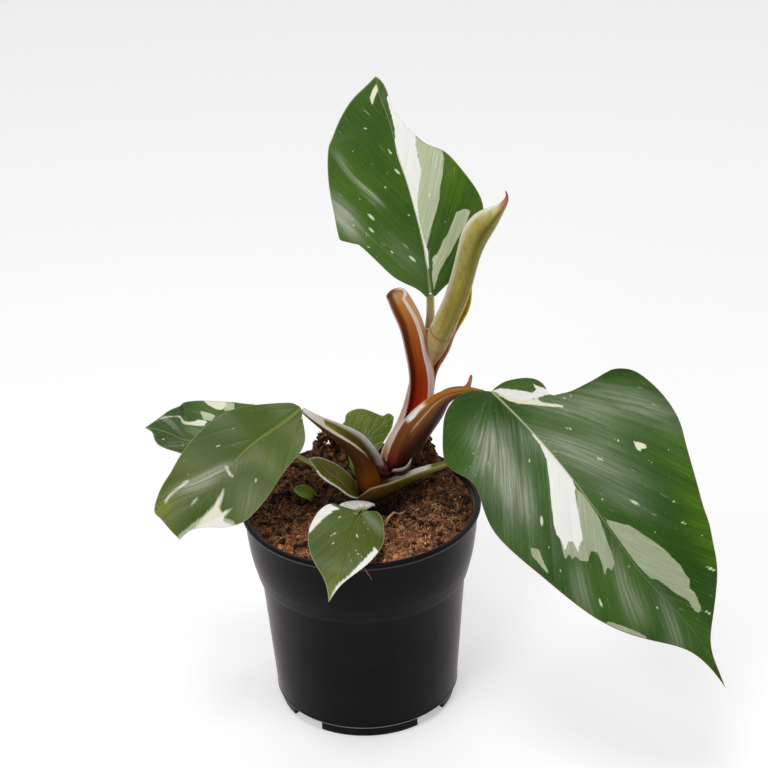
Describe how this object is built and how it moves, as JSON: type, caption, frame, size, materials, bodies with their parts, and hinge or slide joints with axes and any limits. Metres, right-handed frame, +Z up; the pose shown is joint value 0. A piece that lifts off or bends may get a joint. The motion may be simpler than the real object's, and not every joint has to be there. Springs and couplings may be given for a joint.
{
  "type": "potted philodendron",
  "caption": "Young climbing foliage plant with white-marbled heart-shaped leaves, reddish sheathing stalks and a rolled new leaf, growing in soil in a round black plastic nursery pot",
  "frame": {"origin": "centre of the whole plant's footprint, on the plane that the pot's foot ring stands on", "axes": "+Z up, -Y towards the side that the picture shows, +X towards the largest leaf"},
  "size_m": [0.2714, 0.1684, 0.3192],
  "materials": {
    "black_plastic": "matte",
    "soil": "loose, rough",
    "crown_bark": "satin",
    "brown_stalk": "satin",
    "pink_stalk": "satin",
    "red_sheath": "satin",
    "white_stalk": "satin",
    "pale_yellow": "satin",
    "leaf_green": "waxy satin",
    "young_green": "satin"
  },
  "bodies": {
    "root": {"pot": "black_plastic", "soil": "soil", "crown_stem": "crown_bark", "right_leaf_stalk": "brown_stalk", "left_leaf_stalk": "brown_stalk", "low_right_sheath": "brown_stalk", "top_leaf_stalk": "pink_stalk", "red_sheath": "red_sheath", "bud_sheath": "red_sheath", "front_leaf_stalk": "white_stalk", "back_left_leaf_stalk": "young_green", "rolled_new_leaf": "pale_yellow", "right_leaf_blade": "leaf_green", "left_leaf_blade": "leaf_green", "top_leaf_blade": "leaf_green", "front_leaf_blade": "leaf_green", "back_left_leaf_blade": "leaf_green", "back_leaf_blade": "young_green", "left_bract": "young_green", "soil_shoot": "young_green"}
  },
  "joints": []
}
